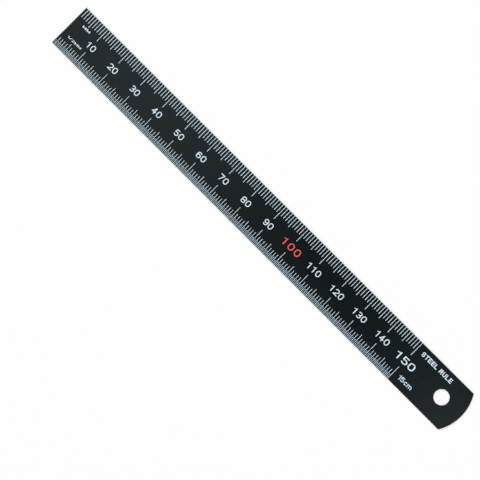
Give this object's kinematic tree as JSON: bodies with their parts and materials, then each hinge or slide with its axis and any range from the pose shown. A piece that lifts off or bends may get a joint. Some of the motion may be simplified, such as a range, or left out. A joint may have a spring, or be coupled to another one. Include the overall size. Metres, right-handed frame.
{
  "type": "steel rule",
  "caption": "Pocket steel rule: a thin flat black blade with white millimetre and inch scales on its two faces, a square zero end and a rounded end with a hang hole.",
  "frame": {"origin": "on the underside, at the middle of the square zero end, so that x is the distance from the rule's zero", "axes": "+X runs along the blade from the zero end to the hang hole, +Y across the blade to the edge with the millimetre scale, +Z out of the metric face; the inch face is underneath"},
  "size_m": [0.1742, 0.0156, 0.0005],
  "materials": {
    "black_finish": "satin black finish on stainless steel, finely brushed along the blade",
    "white_ink": "opaque white ink fired into etched recesses, slightly satin",
    "red_ink": "opaque red ink fired into etched recesses, slightly satin"
  },
  "bodies": {
    "root": {"blade": "black_finish", "scale_millimetre": "white_ink", "scale_half_millimetre": "white_ink", "numeral_mm_10_a": "white_ink", "numeral_mm_10_b": "white_ink", "numeral_mm_20_a": "white_ink", "numeral_mm_20_b": "white_ink", "numeral_mm_30_a": "white_ink", "numeral_mm_30_b": "white_ink", "numeral_mm_40_a": "white_ink", "numeral_mm_40_b": "white_ink", "numeral_mm_50_a": "white_ink", "numeral_mm_50_b": "white_ink", "numeral_mm_60_a": "white_ink", "numeral_mm_60_b": "white_ink", "numeral_mm_70_a": "white_ink", "numeral_mm_70_b": "white_ink", "numeral_mm_80_a": "white_ink", "numeral_mm_80_b": "white_ink", "numeral_mm_90_a": "white_ink", "numeral_mm_90_b": "white_ink", "numeral_mm_100_a": "red_ink", "numeral_mm_100_b": "red_ink", "numeral_mm_100_c": "red_ink", "numeral_mm_110_a": "white_ink", "numeral_mm_110_b": "white_ink", "numeral_mm_110_c": "white_ink", "numeral_mm_120_a": "white_ink", "numeral_mm_120_b": "white_ink", "numeral_mm_120_c": "white_ink", "numeral_mm_130_a": "white_ink", "numeral_mm_130_b": "white_ink", "numeral_mm_130_c": "white_ink", "numeral_mm_140_a": "white_ink", "numeral_mm_140_b": "white_ink", "numeral_mm_140_c": "white_ink", "numeral_mm_150_a": "white_ink", "numeral_mm_150_b": "white_ink", "numeral_mm_150_c": "white_ink", "scale_decimal_inch": "white_ink", "scale_binary_inch": "white_ink", "numeral_inch_1": "white_ink", "numeral_inch_2": "white_ink", "numeral_inch_3": "white_ink", "numeral_inch_4": "white_ink", "numeral_inch_5": "white_ink", "numeral_inch_6": "white_ink"}
  },
  "joints": []
}
